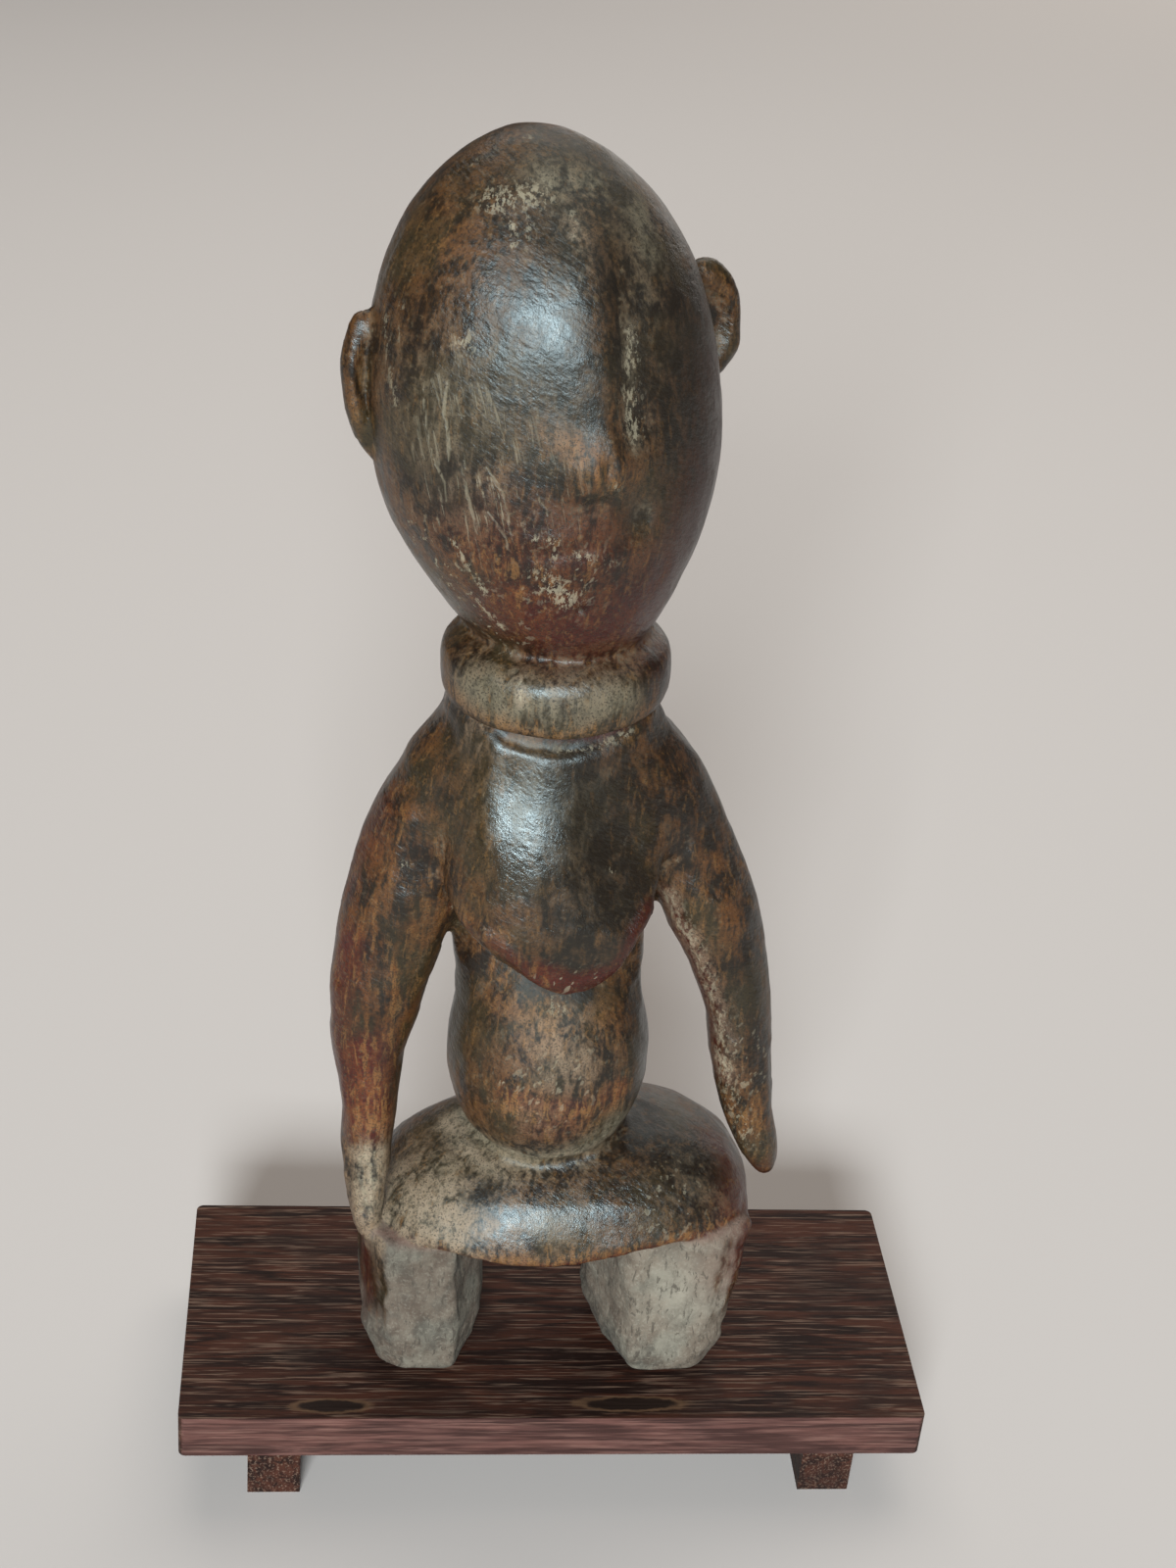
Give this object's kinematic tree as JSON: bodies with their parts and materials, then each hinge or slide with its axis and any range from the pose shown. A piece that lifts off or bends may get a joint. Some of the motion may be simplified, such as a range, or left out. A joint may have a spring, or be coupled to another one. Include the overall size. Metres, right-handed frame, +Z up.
{
  "type": "ancestor figure",
  "caption": "Carved wooden standing figure with egg-shaped head, collar, long tapering arms and short legs, on a low board stand.",
  "frame": {"origin": "centre of the stand's base, on the surface that it stands on", "axes": "+Z up, the figure looks along -Y, the board's long side along X"},
  "size_m": [0.3, 0.126, 0.5426],
  "materials": {
    "patinated_wood": "dark handled patina, glossy on high places, dusty and dull in hollows and on the legs",
    "board_wood": "dark stained wood, satin",
    "batten_wood": "dark stained wood, satin"
  },
  "bodies": {
    "root": {"figure": "patinated_wood", "stand_board": "board_wood", "stand_batten_left": "batten_wood", "stand_batten_right": "batten_wood"}
  },
  "joints": []
}
